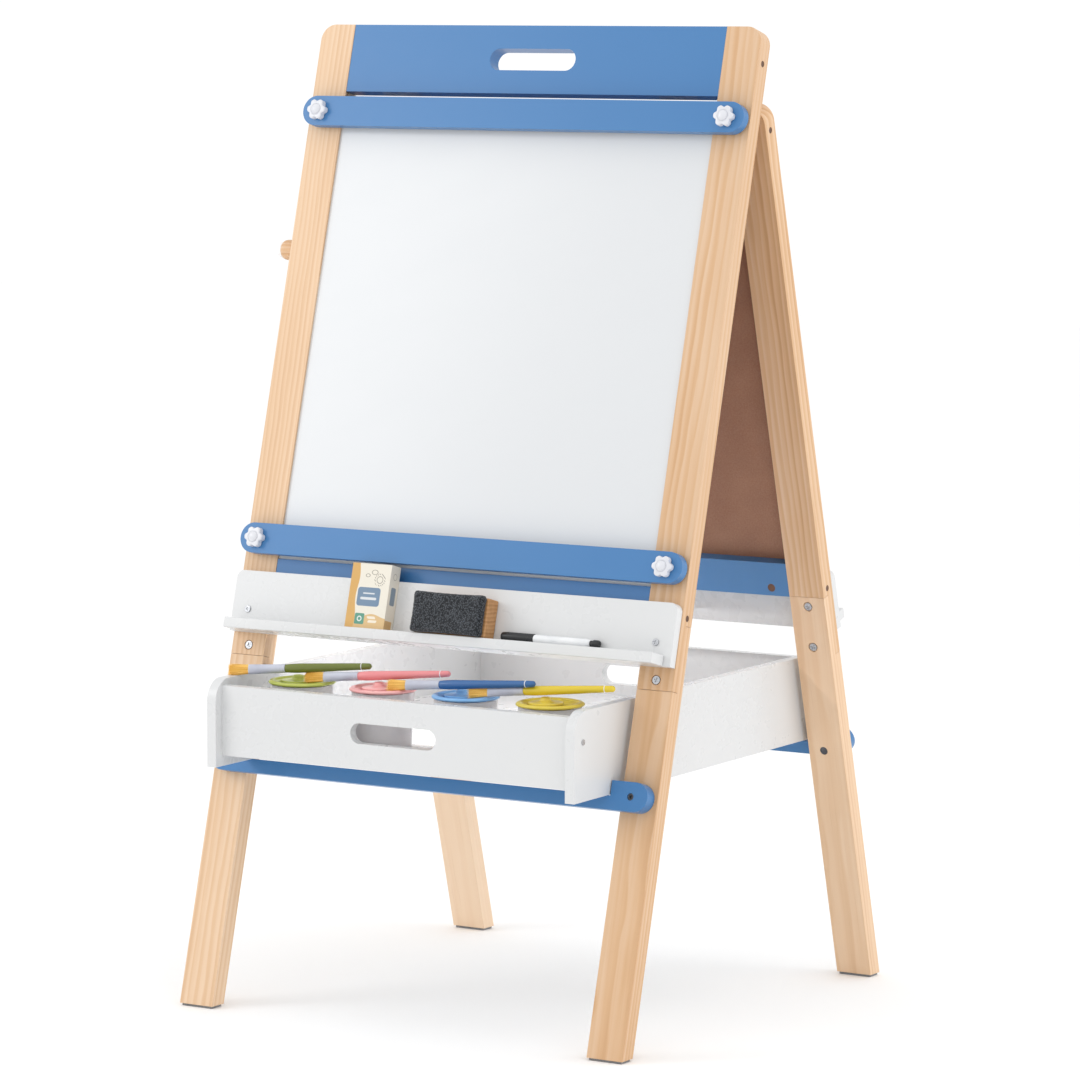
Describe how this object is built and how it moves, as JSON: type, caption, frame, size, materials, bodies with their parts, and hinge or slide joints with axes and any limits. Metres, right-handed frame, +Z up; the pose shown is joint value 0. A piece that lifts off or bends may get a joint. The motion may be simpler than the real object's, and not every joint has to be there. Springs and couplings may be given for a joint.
{
  "type": "kids easel",
  "caption": "Folding wooden A-frame easel for children with whiteboard, chalkboard, clamp bars, trays, a slotted storage box and a small set of drawing supplies.",
  "frame": {"origin": "on the floor, in the middle of the whole easel's bounding box", "axes": "+Z up; -Y towards the whiteboard side, which is the front; +X to the right as seen from the front"},
  "size_m": [0.639, 0.6511, 1.149],
  "materials": {
    "pine": "clear-lacquered pine, satin",
    "blue_paint": "smooth satin blue paint over wood",
    "white_paint": "smooth satin white lacquer",
    "whiteboard_face": "glossy dry-wipe surface over brown hardboard",
    "chalkboard_face": "matt chalkboard paint over brown hardboard",
    "zinc": "bright zinc plating",
    "brown_caps": "matt moulded plastic over steel bolts",
    "grey_felt": "pressed grey felt",
    "white_plastic": "smooth moulded plastic",
    "carton": "coated printed card",
    "dark_felt": "soft charcoal felt",
    "marker_plastic": "smooth plastic with black ends",
    "cup_plastic": "translucent moulded plastic",
    "lid_plastic": "coloured moulded plastic, one colour per lid",
    "brush_handle": "painted handles, metal ferrules and yellow bristles"
  },
  "bodies": {
    "front_frame": {"front_upper_leg_left": "pine", "front_upper_leg_right": "pine", "front_lower_leg_left": "pine", "front_lower_leg_right": "pine", "front_top_rail": "blue_paint", "front_bottom_rail": "blue_paint", "front_tray_back": "white_paint", "front_tray_ledge": "white_paint", "front_box_bar": "blue_paint", "front_feet": "grey_felt", "front_lap_bolts": "zinc", "front_rail_bolts": "brown_caps", "front_tray_screws": "zinc", "front_bar_bolts": "zinc", "front_hinge_leaves": "zinc", "front_hinge_screws": "zinc", "top_panel": "blue_paint", "whiteboard": "whiteboard_face", "clamp_studs": "zinc", "roll_brackets": "pine", "hinge_pins": "zinc"},
    "rear_frame": {"rear_upper_leg_left": "pine", "rear_upper_leg_right": "pine", "rear_lower_leg_left": "pine", "rear_lower_leg_right": "pine", "rear_top_rail": "blue_paint", "rear_bottom_rail": "blue_paint", "rear_tray_back": "white_paint", "rear_tray_ledge": "white_paint", "rear_box_bar": "blue_paint", "rear_feet": "grey_felt", "rear_lap_bolts": "zinc", "rear_rail_bolts": "brown_caps", "rear_tray_screws": "zinc", "rear_bar_bolts": "zinc", "rear_hinge_leaves": "zinc", "rear_hinge_screws": "zinc", "chalkboard": "chalkboard_face"},
    "upper_clamp": {"upper_clamp_bar": "blue_paint"},
    "lower_clamp": {"lower_clamp_bar": "blue_paint"},
    "upper_left_knob": {"knob_upper_left": "white_plastic"},
    "upper_right_knob": {"knob_upper_right": "white_plastic"},
    "lower_left_knob": {"knob_lower_left": "white_plastic"},
    "lower_right_knob": {"knob_lower_right": "white_plastic"},
    "roll_holder": {"roll_rod": "pine", "roll_rod_grip": "pine", "roll_rod_cap": "white_plastic"},
    "storage_box": {"box_side_left": "white_paint", "box_side_right": "white_paint", "box_front_panel": "white_paint", "box_back_panel": "white_paint", "box_floor": "white_paint", "box_screws": "zinc"},
    "chalk_pack": {"chalk_carton": "carton"},
    "board_eraser": {"eraser_block": "pine", "eraser_felt": "dark_felt"},
    "board_marker": {"marker": "marker_plastic"},
    "cup_set": {"paint_cups": "cup_plastic", "cup_lids": "lid_plastic"},
    "brush_set": {"paint_brushes": "brush_handle"}
  },
  "joints": [
    {"name": "fold_hinge", "type": "hinge", "parent": "front_frame", "child": "rear_frame", "pos_m": [0.0195, -0.00638, 1.05982], "axis": [-1, 0, 0], "range_deg": [0, 23]},
    {"name": "upper_clamp_slide", "type": "slide", "parent": "front_frame", "child": "upper_clamp", "axis": [0, -0.9688, 0.2478], "range_m": [-0.0037, 0.005]},
    {"name": "lower_clamp_slide", "type": "slide", "parent": "front_frame", "child": "lower_clamp", "axis": [0, -0.9688, 0.2478], "range_m": [-0.0037, 0.005]},
    {"name": "upper_left_knob_turn", "type": "hinge", "parent": "upper_clamp", "child": "upper_left_knob", "pos_m": [-0.2575, -0.05853, 1.04763], "axis": [0, -0.9688, 0.2478], "continuous": true},
    {"name": "upper_right_knob_turn", "type": "hinge", "parent": "upper_clamp", "child": "upper_right_knob", "pos_m": [0.2965, -0.05853, 1.04763], "axis": [0, -0.9688, 0.2478], "continuous": true},
    {"name": "lower_left_knob_turn", "type": "hinge", "parent": "lower_clamp", "child": "lower_left_knob", "pos_m": [-0.2575, -0.18716, 0.54483], "axis": [0, -0.9688, 0.2478], "continuous": true},
    {"name": "lower_right_knob_turn", "type": "hinge", "parent": "lower_clamp", "child": "lower_right_knob", "pos_m": [0.2965, -0.18716, 0.54483], "axis": [0, -0.9688, 0.2478], "continuous": true},
    {"name": "roll_rod_turn", "type": "hinge", "parent": "front_frame", "child": "roll_holder", "pos_m": [0.0195, -0.04309, 0.87801], "axis": [1, 0, 0], "continuous": true},
    {"name": "storage_box_slide", "type": "slide", "parent": "front_frame", "child": "storage_box", "axis": [0, -0.9999, -0.0138], "range_m": [0, 0.16]},
    {"name": "chalk_pack_lift", "type": "slide", "parent": "front_frame", "child": "chalk_pack", "axis": [0, -0.9688, 0.2478], "range_m": [0, 0.06]},
    {"name": "board_eraser_lift", "type": "slide", "parent": "front_frame", "child": "board_eraser", "axis": [0, -0.9688, 0.2478], "range_m": [0, 0.06]},
    {"name": "board_marker_lift", "type": "slide", "parent": "front_frame", "child": "board_marker", "axis": [0, -0.9688, 0.2478], "range_m": [0, 0.06]},
    {"name": "cup_set_slide", "type": "slide", "parent": "storage_box", "child": "cup_set", "axis": [0, 0.9999, 0.0138], "range_m": [0, 0.2]},
    {"name": "brush_set_lift", "type": "slide", "parent": "cup_set", "child": "brush_set", "axis": [0, 0, 1], "range_m": [0, 0.015]}
  ]
}
